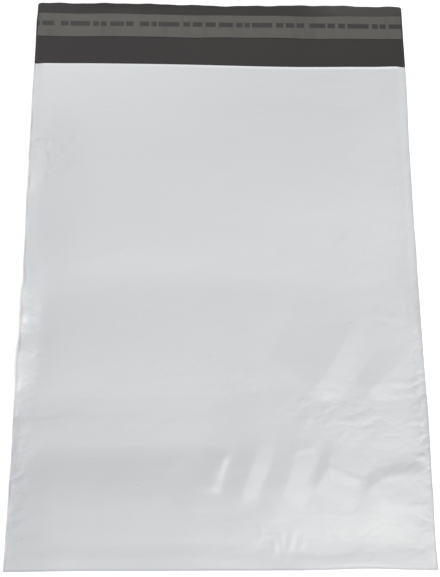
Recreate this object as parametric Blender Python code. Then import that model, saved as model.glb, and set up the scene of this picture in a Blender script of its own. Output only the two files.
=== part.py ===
"""A poly mailer bag: one film web folded at the bottom and heat-sealed at both sides, with a glue lip.

The bag is empty and lies on its back, as it would on a table. X runs across it, +Y from the bottom
fold to the free edge of the lip, and +Z up. The origin is on the table, under the middle of the bag.
Three pieces make it up: the film, the strip of glue on the lip, and the liner that covers the glue.
"""

import math
from dataclasses import dataclass

import bmesh
import bpy

# Driving dimensions of the film, in metres.
BAG_WIDTH = 0.254
BAG_LENGTH = 0.376
LIP_LENGTH = 0.046
FILM = 0.0000635
SEAL_WIDTH = 0.0025

# The closure on the lip.
LINER_FROM_EDGE = 0.0072
LINER_WIDTH = 0.0178
LINER_THICKNESS = 0.00006
LINER_SIDE_MARGIN = 0.001
ADHESIVE_EDGE_MARGIN = 0.002
ADHESIVE_THICKNESS = 0.00004
LAYER_GAP = 0.0001

# The air left between the panels of the empty bag.
PILLOW_AIR = 0.0009
LEAST_AIR = 0.0003
MOUTH_AIR = 0.0006
PILLOW_RISE = 0.040
MOUTH_FALL = 0.040
FOLD_RISE = 0.008
FOLD_HOLD = 0.75
SEAL_REACH = 0.004

# The soft waves of the side seals.
SEAL_WAVE_HEIGHT = 0.0008
SEAL_WAVE_PITCH = 0.070
SEAL_WAVE_REACH = 0.035

# The curl of the lip's free edge, outside the liner.
CURL_HEIGHT = 0.0012
CURL_PITCH = 0.127

# How finely the film is divided.
COLUMNS = 44
LIP_ROWS = (0.0, 0.25, 0.75, 1.0)
FINE_ROWS = 30
COARSE_ROWS = 8
FINE_SHARE = 0.60
NOSE_ROWS = 4

# Where the panels lie along Y.
LIP_EDGE_Y = BAG_LENGTH / 2
MOUTH_Y = LIP_EDGE_Y - LIP_LENGTH
LINER_TOP_Y = LIP_EDGE_Y - LINER_FROM_EDGE
BOTTOM_Y = -LIP_EDGE_Y
NOSE_RADIUS = FILM + PILLOW_AIR / 2
FOLD_Y = BOTTOM_Y + NOSE_RADIUS
SEAL_X = BAG_WIDTH / 2 - SEAL_WIDTH
MERGE = 1e-7


@dataclass(frozen=True)
class Crease:
    """A ridge in the front panel, or with a negative height a dip.

    It runs left to right or bottom to top. Its ends are measured from the bag's left edge and its bottom
    fold. The left flank is the upper one, or the one towards the left edge.
    """

    start_x: float
    start_y: float
    end_x: float
    end_y: float
    left: float
    right: float
    height: float
    fade: float


BOTTOM_SWELL = Crease(
    start_x=-0.02,
    start_y=0.034,
    end_x=0.165,
    end_y=0.04,
    left=0.034,
    right=0.11,
    height=0.0019,
    fade=0.03,
)
CORNER_SWELL = Crease(
    start_x=0.118,
    start_y=0.038,
    end_x=0.285,
    end_y=0.04,
    left=0.11,
    right=0.033,
    height=0.0016,
    fade=0.03,
)
CORNER_SLOPE = Crease(
    start_x=0.162,
    start_y=-0.004,
    end_x=0.132,
    end_y=0.054,
    left=0.05,
    right=0.022,
    height=0.0004,
    fade=0.012,
)
CORNER_FOLD = Crease(
    start_x=0.205,
    start_y=0.039,
    end_x=0.27,
    end_y=0.06,
    left=0.0065,
    right=0.018,
    height=0.0006,
    fade=0.01,
)
RIPPLE_1 = Crease(
    start_x=0.1225,
    start_y=0.041,
    end_x=0.131,
    end_y=0.071,
    left=0.013,
    right=0.006,
    height=0.0004,
    fade=0.007,
)
RIPPLE_2 = Crease(
    start_x=0.138,
    start_y=0.033,
    end_x=0.152,
    end_y=0.074,
    left=0.011,
    right=0.0125,
    height=0.0008,
    fade=0.01,
)
RIPPLE_3 = Crease(
    start_x=0.16,
    start_y=0.036,
    end_x=0.172,
    end_y=0.075,
    left=0.011,
    right=0.016,
    height=0.0009,
    fade=0.01,
)
RIPPLE_4 = Crease(
    start_x=0.182,
    start_y=0.042,
    end_x=0.196,
    end_y=0.073,
    left=0.0055,
    right=0.024,
    height=0.0007,
    fade=0.008,
)
BILLOW_1 = Crease(
    start_x=0.181,
    start_y=0.1,
    end_x=0.21,
    end_y=0.146,
    left=0.042,
    right=0.02,
    height=0.001,
    fade=0.012,
)
BILLOW_2 = Crease(
    start_x=0.215,
    start_y=0.103,
    end_x=0.27,
    end_y=0.148,
    left=0.036,
    right=0.024,
    height=0.0006,
    fade=0.012,
)
SIDE_STREAK = Crease(
    start_x=0.217,
    start_y=0.157,
    end_x=0.245,
    end_y=0.148,
    left=0.006,
    right=0.006,
    height=0.0003,
    fade=0.008,
)
LEFT_PUCKER_UPPER = Crease(
    start_x=0.004,
    start_y=0.144,
    end_x=0.007,
    end_y=0.18,
    left=0.004,
    right=0.01,
    height=0.0009,
    fade=0.008,
)
LEFT_PUCKER_LOWER = Crease(
    start_x=0.0034,
    start_y=0.104,
    end_x=0.0038,
    end_y=0.142,
    left=0.004,
    right=0.008,
    height=0.0008,
    fade=0.008,
)
LEFT_LINE = Crease(
    start_x=-0.012,
    start_y=0.0875,
    end_x=0.06,
    end_y=0.092,
    left=0.005,
    right=0.016,
    height=0.0003,
    fade=0.012,
)
MIDDLE_SWELL = Crease(
    start_x=-0.005,
    start_y=0.133,
    end_x=0.215,
    end_y=0.14,
    left=0.036,
    right=0.033,
    height=0.0008,
    fade=0.02,
)
UPPER_SWELL = Crease(
    start_x=-0.03,
    start_y=0.238,
    end_x=0.284,
    end_y=0.236,
    left=0.066,
    right=0.064,
    height=0.0015,
    fade=0.025,
)
UPPER_HOLLOW = Crease(
    start_x=0.03,
    start_y=0.262,
    end_x=0.13,
    end_y=0.266,
    left=0.022,
    right=0.022,
    height=-0.0002,
    fade=0.025,
)
CREASES = (
    BOTTOM_SWELL,
    CORNER_SWELL,
    CORNER_SLOPE,
    CORNER_FOLD,
    RIPPLE_1,
    RIPPLE_2,
    RIPPLE_3,
    RIPPLE_4,
    BILLOW_1,
    BILLOW_2,
    SIDE_STREAK,
    LEFT_PUCKER_UPPER,
    LEFT_PUCKER_LOWER,
    LEFT_LINE,
    MIDDLE_SWELL,
    UPPER_SWELL,
    UPPER_HOLLOW,
)


def smooth(t):
    """0 below 0, 1 above 1, and an easy curve between."""
    t = min(max(t, 0.0), 1.0)
    return t * t * (3 - 2 * t)


def seal_wave(x, y):
    """How far the film near a side seal lifts off the table: nothing in the middle of the bag."""
    inside = max(SEAL_X - abs(x), 0.0)
    near = 1 - smooth(inside / SEAL_WAVE_REACH)
    along = smooth((MOUTH_Y - y) / MOUTH_FALL)
    side_shift = math.pi / 3 if x > 0 else 0.0
    turn = 2 * math.pi * (y - BOTTOM_Y) / SEAL_WAVE_PITCH + side_shift
    return SEAL_WAVE_HEIGHT * near * along * (0.5 - 0.5 * math.cos(turn))


def edge_curl(x, y):
    """How far the lip's free edge lifts, from the liner outwards."""
    out = max(y - LINER_TOP_Y, 0.0) / LINER_FROM_EDGE
    return CURL_HEIGHT * out**2 * (0.5 - 0.5 * math.cos(2 * math.pi * x / CURL_PITCH))


def back_height(x, y):
    """Height of the back panel's outer face."""
    return seal_wave(x, y) + edge_curl(x, y)


def crease_height(crease, x, y):
    """What one crease adds at a point of the front panel: most on its line, and nothing past its ends."""
    dx = crease.end_x - crease.start_x
    dy = crease.end_y - crease.start_y
    from_x = x + BAG_WIDTH / 2 - crease.start_x
    from_y = y - BOTTOM_Y - crease.start_y
    length = math.hypot(dx, dy)
    along = (from_x * dx + from_y * dy) / length
    across = (dx * from_y - dy * from_x) / length
    flank = crease.left if across > 0 else crease.right
    out = min(abs(across) / flank, 1)
    ends = smooth(along / crease.fade) * smooth((length - along) / crease.fade)
    inside = SEAL_X - abs(x)
    held = math.sqrt(smooth(inside / max(SEAL_REACH, min(crease.left, crease.right))))
    return crease.height * (1 - out**2) * ends * held


def air(x, y):
    """The gap between the two panels: none at the side seals, most over the creases."""
    inside = SEAL_X - abs(x)
    if inside <= 0:
        return 0.0
    to_mouth = smooth((MOUTH_Y - y) / MOUTH_FALL)
    level = MOUTH_AIR + (PILLOW_AIR - MOUTH_AIR) * to_mouth
    level = level * smooth(inside / PILLOW_RISE)
    at_fold = FOLD_HOLD + (1 - FOLD_HOLD) * smooth((y - FOLD_Y) / FOLD_RISE)
    creases = sum(crease_height(crease, x, y) for crease in CREASES)
    least = LEAST_AIR * math.sqrt(smooth(inside / SEAL_REACH))
    return max(level + creases * at_fold * to_mouth, least)


def folded_point(x, y, turn, depth):
    """Where a point of the web comes to lie.

    turn is 0 on the back panel, pi on the front panel, and between them round the bottom fold.
    depth is 0 on the outer face of the film and 1 on the inner one.
    """
    gap = air(x, y)
    middle = back_height(x, y) + FILM + gap / 2
    half = gap / 2 + FILM * (1 - depth)
    reach = NOSE_RADIUS - FILM * depth
    return x, y - reach * math.sin(turn), middle - half * math.cos(turn)


def pocket_rows():
    """The rows of a panel along Y, from the bottom fold to the mouth: closer where the creases are."""
    split = FOLD_Y + FINE_SHARE * (MOUTH_Y - FOLD_Y)
    fine = [FOLD_Y + (split - FOLD_Y) * k / FINE_ROWS for k in range(FINE_ROWS)]
    coarse = [split + (MOUTH_Y - split) * k / COARSE_ROWS for k in range(COARSE_ROWS)]
    return fine + coarse + [MOUTH_Y]


def web_rows():
    """The rows of the whole web, each as its place along Y and its turn, from the lip to the mouth."""
    outside = [LIP_EDGE_Y - LINER_FROM_EDGE * share for share in LIP_ROWS]
    back = [(y, 0.0) for y in outside]
    back += [(y, 0.0) for y in reversed(pocket_rows())]
    nose = [(FOLD_Y, math.pi * k / NOSE_ROWS) for k in range(1, NOSE_ROWS)]
    front = [(y, math.pi) for y in pocket_rows()]
    return back + nose + front


def web_columns():
    """The columns of the web along X: one at each edge of each side seal, and the rest between."""
    inner = [SEAL_X * (2 * k / COLUMNS - 1) for k in range(COLUMNS + 1)]
    return [-BAG_WIDTH / 2, *inner, BAG_WIDTH / 2]


def flat_slab(bm, columns, rows):
    """A slab of whole-numbered squares: column, row, and depth 0 or 1."""
    bmesh.ops.create_grid(bm, x_segments=columns, y_segments=rows, size=0.5)
    bmesh.ops.translate(bm, verts=bm.verts, vec=(0.5, 0.5, 0.0))
    bmesh.ops.scale(bm, verts=bm.verts, vec=(columns, rows, 1.0))
    made = bmesh.ops.extrude_face_region(bm, geom=bm.faces[:], use_keep_orig=True)["geom"]
    lifted = [item for item in made if isinstance(item, bmesh.types.BMVert)]
    bmesh.ops.translate(bm, verts=lifted, vec=(0.0, 0.0, 1.0))


def heat_seal(bm, columns, rows):
    """Opens the inner faces along both side seals and joins the two panels there."""
    flat_back = rows.index((MOUTH_Y, 0.0))
    inner = [face for face in bm.faces if all(vert.co.z > 0.5 for vert in face.verts)]
    last = len(columns) - 1
    sealed = []
    for face in inner:
        middle = face.calc_center_median()
        if (middle.x < 1 or middle.x > last - 1) and middle.y > flat_back:
            sealed.append(face)
    joined = {vert for face in sealed for vert in face.verts}
    bmesh.ops.delete(bm, geom=sealed, context="FACES_ONLY")
    return [vert for vert in joined if vert.is_valid]


def material(name, color, roughness):
    """A plain plastic finish."""
    made = bpy.data.materials.new(name)
    made.use_nodes = True
    shader = made.node_tree.nodes["Principled BSDF"]
    shader.inputs["Base Color"].default_value = (*color, 1.0)
    shader.inputs["Roughness"].default_value = roughness
    return made


def as_object(name, bm, materials):
    """The finished mesh as an object of the scene."""
    bmesh.ops.recalc_face_normals(bm, faces=bm.faces[:])
    mesh = bpy.data.meshes.new(name)
    bm.to_mesh(mesh)
    bm.free()
    for one in materials:
        mesh.materials.append(one)
    made = bpy.data.objects.new(name, mesh)
    bpy.context.scene.collection.objects.link(made)
    return made


def film_bag():
    """The whole bag of film: two panels, the bottom fold, the side seals, and the lip."""
    columns = web_columns()
    rows = web_rows()
    bm = bmesh.new()
    flat_slab(bm, len(columns) - 1, len(rows) - 1)
    for face in bm.faces:
        face.material_index = 1 if all(vert.co.z > 0.5 for vert in face.verts) else 0
    joined = heat_seal(bm, columns, rows)
    for vert in bm.verts:
        x = columns[round(vert.co.x)]
        y, turn = rows[round(vert.co.y)]
        vert.co = folded_point(x, y, turn, vert.co.z)
    bmesh.ops.remove_doubles(bm, verts=joined, dist=MERGE)
    bmesh.ops.triangulate(bm, faces=bm.faces[:])
    outer = material("outer_film", (0.64, 0.66, 0.68), 0.38)
    inner = material("inner_film", (0.050, 0.046, 0.047), 0.42)
    made = as_object("film_bag", bm, (outer, inner))
    made.data.shade_smooth()
    return made


def strip(name, width, length, thickness, centre_y, bottom, finish):
    """A flat strip across the lip."""
    bm = bmesh.new()
    bmesh.ops.create_cube(bm, size=1.0)
    bmesh.ops.scale(bm, verts=bm.verts, vec=(length, width, thickness))
    bmesh.ops.translate(bm, verts=bm.verts, vec=(0.0, centre_y, bottom + thickness / 2))
    return as_object(name, bm, (finish,))


def closure():
    """The strip of glue on the lip and the liner over it."""
    centre_y = LINER_TOP_Y - LINER_WIDTH / 2
    glue_width = LINER_WIDTH - 2 * ADHESIVE_EDGE_MARGIN
    length = BAG_WIDTH - 2 * LINER_SIDE_MARGIN
    glue = material("hot_melt_glue", (0.42, 0.40, 0.34), 0.55)
    on_film = FILM + LAYER_GAP
    strip("adhesive_strip", glue_width, length, ADHESIVE_THICKNESS, centre_y, on_film, glue)
    on_glue = on_film + ADHESIVE_THICKNESS + LAYER_GAP
    paper = material("release_liner", (0.120, 0.117, 0.110), 0.45)
    strip("release_liner", LINER_WIDTH, length, LINER_THICKNESS, centre_y, on_glue, paper)


def main():
    """Clears the scene and builds the bag."""
    for old in list(bpy.data.objects):
        bpy.data.objects.remove(old)
    film_bag()
    closure()


main()
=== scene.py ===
"""A poly mailer bag lying open on a white table.

The bag is one folded web of film, white outside and dark grey inside. Its lip carries a strip of glue
under a grey release liner. Lengths are in metres, except in the tables of ridges, zones and edges, which
are in millimetres from the bag's left edge and from its bottom fold.
"""

import logging
import math
import random
from dataclasses import dataclass
from enum import Enum
from functools import cache

import bmesh
import bpy
import numpy as np
from mathutils import Euler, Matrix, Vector


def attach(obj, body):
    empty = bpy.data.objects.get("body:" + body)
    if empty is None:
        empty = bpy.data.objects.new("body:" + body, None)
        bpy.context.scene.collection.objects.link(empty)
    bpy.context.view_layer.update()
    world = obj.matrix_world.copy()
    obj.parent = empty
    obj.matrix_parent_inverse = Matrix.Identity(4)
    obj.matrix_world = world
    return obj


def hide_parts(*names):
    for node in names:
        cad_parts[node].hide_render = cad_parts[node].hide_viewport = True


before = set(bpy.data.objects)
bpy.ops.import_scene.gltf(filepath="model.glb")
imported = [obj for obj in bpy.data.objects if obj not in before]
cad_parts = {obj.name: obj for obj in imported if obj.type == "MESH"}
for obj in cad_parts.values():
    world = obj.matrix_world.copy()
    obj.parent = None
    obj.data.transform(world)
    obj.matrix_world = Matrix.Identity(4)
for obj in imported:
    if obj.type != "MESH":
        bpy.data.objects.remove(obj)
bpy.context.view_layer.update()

LOG = logging.getLogger("mailer")
MM = 0.001
SAME_PLACE = 1e-7
SHARP_ANGLE = math.radians(40.0)
Grid = np.ndarray
Pair = tuple[float, float]
Place = Colour = tuple[float, float, float]
WHITE = (1.0, 1.0, 1.0)
Socket = bpy.types.NodeSocket


def smooth(t: Grid) -> Grid:
    """An easy curve from 0 to 1.

    Args:
        t: Where along the curve, as a number or an array.

    Returns:
        0 below 0, 1 above 1, and a smooth step between.
    """
    t = np.clip(t, 0.0, 1.0)
    return t * t * (3.0 - 2.0 * t)


class Profile(Enum):
    """How a ridge falls from its crest to its foot, as two exponents."""

    ROUND = (2.0, 2.0)
    TENT = (1.12, 1.1)
    SOFT_FOOT = (2.0, 1.4)
    SHARP_FOOT = (2.0, 1.0)


@dataclass(frozen=True)
class Ridge:
    """One fold of the front panel, which runs left to right or bottom to top.

    Lengths are in millimetres: the crest's path from the bag's left edge and bottom fold, and the widths of
    the flanks. The left flank is the upper one, or the one towards the left edge. The ends are the shares of
    the crest over which it fades at its start and end, and the spread is what both flanks' widths are
    multiplied by there. Near a side seal the ridge is held down over the hold share of its narrower flank.
    """

    path: tuple[Pair, ...]
    left: float
    right: float
    height: float
    profile: Profile = Profile.TENT
    ends: Pair = (0.3, 0.3)
    spread: Pair = (1.0, 1.0)
    least_hold: float = 4.0
    hold_share: float = 0.8

    def crest(self, steps: int = 6) -> Grid:
        """The crest line as a smooth curve through the path's points.

        Args:
            steps: How many points stand for each stretch of the path.

        Returns:
            The points of the curve, one row each.
        """
        given = np.array(self.path, float)
        first = 2 * given[0] - given[1]
        last = 2 * given[-1] - given[-2]
        knots = np.vstack([first, given, last])
        points = []
        for k in range(1, len(knots) - 2):
            a, b, c, d = knots[k - 1 : k + 3]
            for t in np.arange(steps) / steps:
                bend = (2 * a - 5 * b + 4 * c - d) * t * t + (3 * b - a - 3 * c + d) * t**3
                points.append(0.5 * (2 * b + (c - a) * t + bend))
        points.append(given[-1])
        return np.array(points)

    def add_to(self, total: Grid, x: Grid, y: Grid, inside: Grid) -> None:
        """Adds the ridge's rise to what is there.

        Args:
            total: The rise so far at each place, in millimetres, which it changes.
            x: Distances from the bag's left edge, in millimetres.
            y: Distances from the bottom fold, in millimetres.
            inside: Distances from the nearer side seal, in millimetres.
        """
        points = self.crest()
        reach = max(self.left, self.right) * max(self.spread)
        low, high = points.min(axis=0) - reach, points.max(axis=0) + reach
        near = (x > low[0]) & (x < high[0]) & (y > low[1]) & (y < high[1])
        hold = max(self.least_hold, self.hold_share * min(self.left, self.right))
        held = np.sqrt(smooth(inside[near] / hold))
        total[near] += self.rise(x[near], y[near]) * held

    def rise(self, x: Grid, y: Grid) -> Grid:
        """How much the ridge lifts the film.

        Args:
            x: Distances from the bag's left edge, in millimetres.
            y: Distances from the bottom fold, in millimetres.

        Returns:
            The rise at each place, in millimetres.
        """
        points = self.crest()
        runs = np.diff(points, axis=0)
        lengths = np.hypot(runs[:, 0], runs[:, 1])
        starts = np.concatenate([[0.0], np.cumsum(lengths)])
        nearest = np.full(x.shape, np.inf)
        side = np.zeros(x.shape)
        place = np.zeros(x.shape)
        for k, (dx, dy) in enumerate(runs):
            from_x = x - points[k, 0]
            from_y = y - points[k, 1]
            t = np.clip((from_x * dx + from_y * dy) / lengths[k] ** 2, 0.0, 1.0)
            away = np.hypot(from_x - t * dx, from_y - t * dy)
            closer = away < nearest
            nearest = np.where(closer, away, nearest)
            side = np.where(closer, dx * from_y - dy * from_x, side)
            place = np.where(closer, starts[k] + t * lengths[k], place)
        power, outer = self.profile.value
        along = place / starts[-1]
        widths = np.where(side > 0, self.left, self.right)
        widths = widths * (self.spread[0] + (self.spread[1] - self.spread[0]) * along)
        out = np.clip(nearest / widths, 0.0, 1.0)
        shape = (1.0 - out**power) ** outer
        for end, share in zip(self.ends, (along, 1.0 - along)):
            if end > 0:
                shape = shape * smooth(share / end)
        return self.height * shape


RIDGES = (
    # The swells and the fold of the low part.
    Ridge(((-6, 33), (20, 36), (60, 37), (110, 38), (155, 40)),
          34, 110, 2.4, Profile.SOFT_FOOT, ends=(0, 0.3)),
    Ridge(((118, 38), (140, 41), (160, 44), (190, 47), (215, 48), (235, 48), (258, 48)),
          104, 44, 2, Profile.ROUND, ends=(0.3, 0)),
    Ridge(((209, 41), (214, 45), (219, 49), (226, 52.6), (236, 54.6), (246, 56), (258, 56.6)),
          6.6, 24, 0.9, ends=(0.25, 0)),
    # The ripples over the bottom, from left to right.
    Ridge(((99.5, 54), (101.5, 66)), 10, 2.4, 0.4, ends=(0.4, 0.4)),
    Ridge(((122, 42), (126, 55), (131, 69)), 14, 3, 0.85, ends=(0.2, 0.25)),
    Ridge(((137, 31), (141, 47), (145, 57), (153, 80)), 12, 10, 0.85, ends=(0.35, 0.45)),
    Ridge(((160, 35), (166.5, 49.9), (169.8, 60), (173, 83)), 12.5, 16, 0.95, ends=(0.3, 0.5)),
    Ridge(((181, 42), (189, 56), (197, 75)), 6.2, 24, 0.78, ends=(0.3, 0.4)),
    # The billows and streaks at the right.
    Ridge(((181, 101), (188, 111), (196, 121.5), (204, 135), (213, 149), (220, 160)),
          42, 20, 1.5, ends=(0.15, 0.5), spread=(0.8, 1)),
    Ridge(((215, 103), (222, 108.5), (237, 121), (254, 136)),
          36, 24, 0.9, ends=(0.12, 0), spread=(0.4, 1.1)),
    Ridge(((219, 156.5), (228, 153), (243, 149.5)), 6, 3.4, 0.26),
    # The lines and swells from the left edge up.
    Ridge(((8.2, 162), (10, 168), (10.6, 175)), 4, 2.2, 0.3, ends=(0.2, 0.2)),
    Ridge(((1, 86), (20, 87.2), (46, 90)), 2, 15, 0.2, ends=(0.05, 0.4)),
    Ridge(((5, 133), (60, 134), (120, 136), (205, 140)), 36, 33, 0.8, Profile.SHARP_FOOT, ends=(0.1, 0.35)),
    Ridge(((0, 236), (80, 243), (180, 238), (254, 232)), 66, 64, 1.5, Profile.SHARP_FOOT, ends=(0, 0)),
    Ridge(((180, 250), (205, 225), (222, 185)), 40, 30, 0.1, Profile.ROUND),
    Ridge(((35, 262), (80, 270), (125, 266)), 22, 22, -0.2, Profile.ROUND),
    Ridge(((24, 184.5), (37.6, 188.8), (52.2, 194), (70, 194.5)), 2, 7, 0.13, ends=(0.2, 0.2)),
    Ridge(((2, 275), (7, 269.5), (13, 261)), 3, 2.6, 0.34, ends=(0.35, 0.6)),
    # The fine lines of the right half.
    Ridge(((190, 60.2), (198, 56.6), (206, 53), (215, 50.2)), 1.5, 6, 0.3, ends=(0.1, 0.1)),
    Ridge(((170, 66.2), (176, 68.8), (185, 69.4)), 6, 1.5, 0.2, ends=(0.2, 0.2)),
    Ridge(((178, 104.5), (188, 105), (199, 104.5)), 1.6, 2.6, 0.12, ends=(0.2, 0.2)),
    Ridge(((204, 84), (212, 83.6), (222, 84.4)), 2.2, 2, -0.16, ends=(0.15, 0.1)),
    Ridge(((205, 97), (212, 96.6), (220, 97.4)), 1.8, 1.8, -0.09, ends=(0.2, 0.2)),
    Ridge(((188, 91), (194, 93.5), (199, 91.5), (206, 93)), 2, 1.8, 0.08, ends=(0.2, 0.2)),
    Ridge(((196, 73), (200, 77), (205, 81)), 2.4, 1.8, 0.1, ends=(0.2, 0.2)),
    Ridge(((148, 84), (151, 87.5), (156, 89)), 2.2, 1.8, 0.05, ends=(0.2, 0.2)),
    Ridge(((174, 84), (177, 86.5), (182, 90)), 2.2, 1.8, 0.05, ends=(0.2, 0.2)),
    Ridge(((219, 107), (232, 110), (251, 110.5)), 3.4, 3.5, 0.08, ends=(0.2, 0.1)),
    Ridge(((232, 101.5), (242, 103.5), (253, 106.5)), 3, 3, 0.12, ends=(0.2, 0)),
    # What stands at the right edge and along the bottom fold.
    Ridge(((237, 36.8), (246, 36.6), (254, 37)), 1.8, 9, 0.3, ends=(0.3, 0)),
    Ridge(((249, 87), (250.8, 96), (249, 105)), 4.5, 2, 0.34),
    Ridge(((14, 1.5), (60, 1), (110, 2), (160, 1), (205, 2.2), (240, 1.2), (254, 1)),
          14, 3, 0.6, Profile.ROUND, ends=(0.08, 0.03)),
    # The crumples at the foot.
    Ridge(((167, 9), (168, 15), (170, 22)), 2.5, 2, 0.16),
    Ridge(((158, 8), (159.2, 13), (157.5, 18)), 3, 2, 0.17),
    Ridge(((149, 14), (151, 21), (149.5, 28)), 3, 2.4, 0.14),
    Ridge(((161.5, 12), (163, 16.5), (162, 21)), 1.8, 2, 0.12),
    Ridge(((173, 10), (175, 14), (174, 19)), 2.4, 2.2, 0.12),
    Ridge(((158, 10.5), (174, 8.8), (190, 8), (212, 10)), 5, 2.4, -0.16, ends=(0.2, 0.3)),
    # The small folds low at the left.
    Ridge(((44.5, 40), (46, 50), (47, 60)), 6, 2, 0.14),
    Ridge(((5.2, 64), (6, 70), (7.4, 77)), 3.5, 2, 0.28, ends=(0.2, 0.2)),
    Ridge(((6, 8), (7, 14), (8, 20)), 3, 3, 0.08),
)


@dataclass(frozen=True)
class Zone:
    """A place on the bag that is crumpled, or carries painted shade or painted light: its middle and its
    size, in mm.
    """

    x: float
    y: float
    half_width: float
    half_height: float
    strength: float


@dataclass(frozen=True)
class Crumple:
    """A layer of crumpled facets: its scale, its share of the tilt, its turn in degrees, and its stretch."""

    scale: float
    share: float
    angle: float
    stretch: float


CRUMPLES = (Crumple(80.0, 0.9, 14.0, 1.3), Crumple(150.0, 0.8, -24.0, 1.5), Crumple(270.0, 0.6, 50.0, 1.2))

# Where the film is crumpled.
CRUMPLED = tuple(Zone(*row) for row in (
    (5, 140, 9, 38, 1.4), (4, 60, 7, 50, 1.2), (8, 262, 16, 18, 1.0), (60, 268, 55, 20, 0.3),
    (251, 92, 7, 70, 1.4), (249, 240, 10, 60, 0.3), (200, 92, 30, 13, 0.9), (235, 108, 20, 14, 0.3),
    (158, 18, 12, 12, 0.35), (220, 22, 40, 16, 0.2), (232, 60, 26, 14, 0.3), (140, 118, 12, 26, 0.25),
    (60, 190, 40, 10, 0.25), (205, 205, 24, 28, 0.2),
))

# Where painted shade and painted light change its colour: on the front panel, where a positive strength is
# painted shade and a negative one painted light; then on the lip, where a positive strength is a painted
# reflection and a negative one painted shade.
PAINTED_SHADING_ZONES = tuple(Zone(*row) for row in (
    (60, 54, 66, 16, 0.2), (40, 26, 70, 22, 0.08), (30, 88, 40, 9, 0.12), (45, 146, 40, 20, 0.08),
    (70, 270, 60, 20, 0.08), (240, 60, 16, 7, 0.22), (252, 72, 5, 14, 0.2), (252, 152, 4, 18, 0.15),
    (240, 10, 34, 8, 0.14), (105, 3, 62, 6, 0.2), (162, 3, 22, 5, 0.1), (132, 22, 18, 16, 0.1),
    (118, 39, 26, 12, 0.13), (236, 43, 16, 7, 0.12), (236, 4, 25, 4, 0.1), (205, 75, 13, 15, -0.12),
    (222, 40, 20, 9, 0.1), (1.0, 70, 1.6, 14, 0.3), (1.0, 18, 1.6, 14, 0.22), (11, 90, 6, 18, 0.14),
    (5.0, 270.5, 2.4, 3.6, -0.16), (9.5, 265.0, 2.4, 3.6, -0.16), (20, 263, 4, 5, 0.07),
    (27, 253, 5, 5, 0.07), (190, 220, 45, 20, -0.08), (90, 188, 80, 14, -0.08), (228, 373, 30, 6, 1.3),
    (12, 374, 16, 5, 0.05), (60, 370, 12, 6, 0.15), (30, 345, 60, 22, -0.16), (225, 345, 50, 18, 0.1),
))


@dataclass(frozen=True)
class EdgeLift:
    """A place where a side edge stands off the table, in millimetres; the side is -1 at the left."""

    side: int
    y: float
    half_length: float
    reach: float
    height: float


@dataclass(frozen=True)
class EdgeDraw:
    """A length of a side edge that is drawn in, in millimetres from the bottom fold."""

    side: int
    y: float
    half_length: float
    inward: float


# Where the side edges stand up.
EDGE_LIFTS = tuple(EdgeLift(*row) for row in (
    (-1, 159, 13, 13, 1.9), (-1, 121, 14, 11.5, 2.1), (-1, 96, 6, 7, 0.7), (-1, 246, 12, 8, 0.9),
    (-1, 132, 32, 6, 1.0), (-1, 175, 8, 5, 0.8), (-1, 246, 7, 5, 0.6), (-1, 240, 90, 7, 0.42),
    (1, 80, 22, 14, 1.0), (1, 156, 16, 9, 0.6),
))

# Where they are drawn in.
EDGE_DRAWS = tuple(EdgeDraw(*row) for row in (
    (-1, 34, 12, 0.6), (-1, 96, 6, 0.3), (-1, 121, 17, 0.7), (-1, 163, 17, 0.65), (-1, 175, 8, 0.8),
    (-1, 246, 11, 1.2), (-1, 240, 150, 0.7), (-1, 374, 10, 0.6), (1, 22, 14, 0.45), (1, 165, 24, 0.45),
    (1, 255, 48, 0.75),
))

# The web's columns: at the seals, as distances from the side edge; then where each stretch ends and its
# pitch, up to the middle; then the pitch of the creased right half.
SEAL_COLUMNS = (0.0, 0.0003, 0.0006, 0.0010, 0.0017)
LEFT_COLUMNS = ((-0.111, 0.0013), (0.0, 0.0032))
RIGHT_PITCH = 0.00122

# Its rows: where each stretch ends above the bottom fold, or below the mouth, and its pitch; and on the
# lip, as distances from the free edge.
FOLD_ROWS = ((0.160, 0.00124), (0.182, 0.0036), (0.197, 0.0015), (0.254, 0.0038), (0.278, 0.0016))
MOUTH_ROWS = ((0.012, 0.0040), (0.002, 0.0014), (0.0, 0.0004))
EDGE_ROWS = (0.0, 0.0003, 0.0007, 0.0012, 0.0022)
LIP_START = 0.0036
LIP_PITCH = 0.0014


class Noise(Enum):
    """The noise patterns: features to a metre, finer layers, and how strong those are."""

    WANDER = (34.0, 2.0, 0.5)
    PATCHES = (16.0, 1.0, 0.5)
    GRAIN = (1500.0, 2.0, 0.5)
    SOFT = (80.0, 2.5, 0.5)
    SPECKS = (330.0, 0.0, 0.5)
    DRIFT = (9.0, 3.0, 0.5)
    STREAKS = (110.0, 3.0, 0.7)
    DASH_LENGTHS = (62.0, 0.0, 0.5)
    GLUE = (300.0, 2.0, 0.5)


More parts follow.
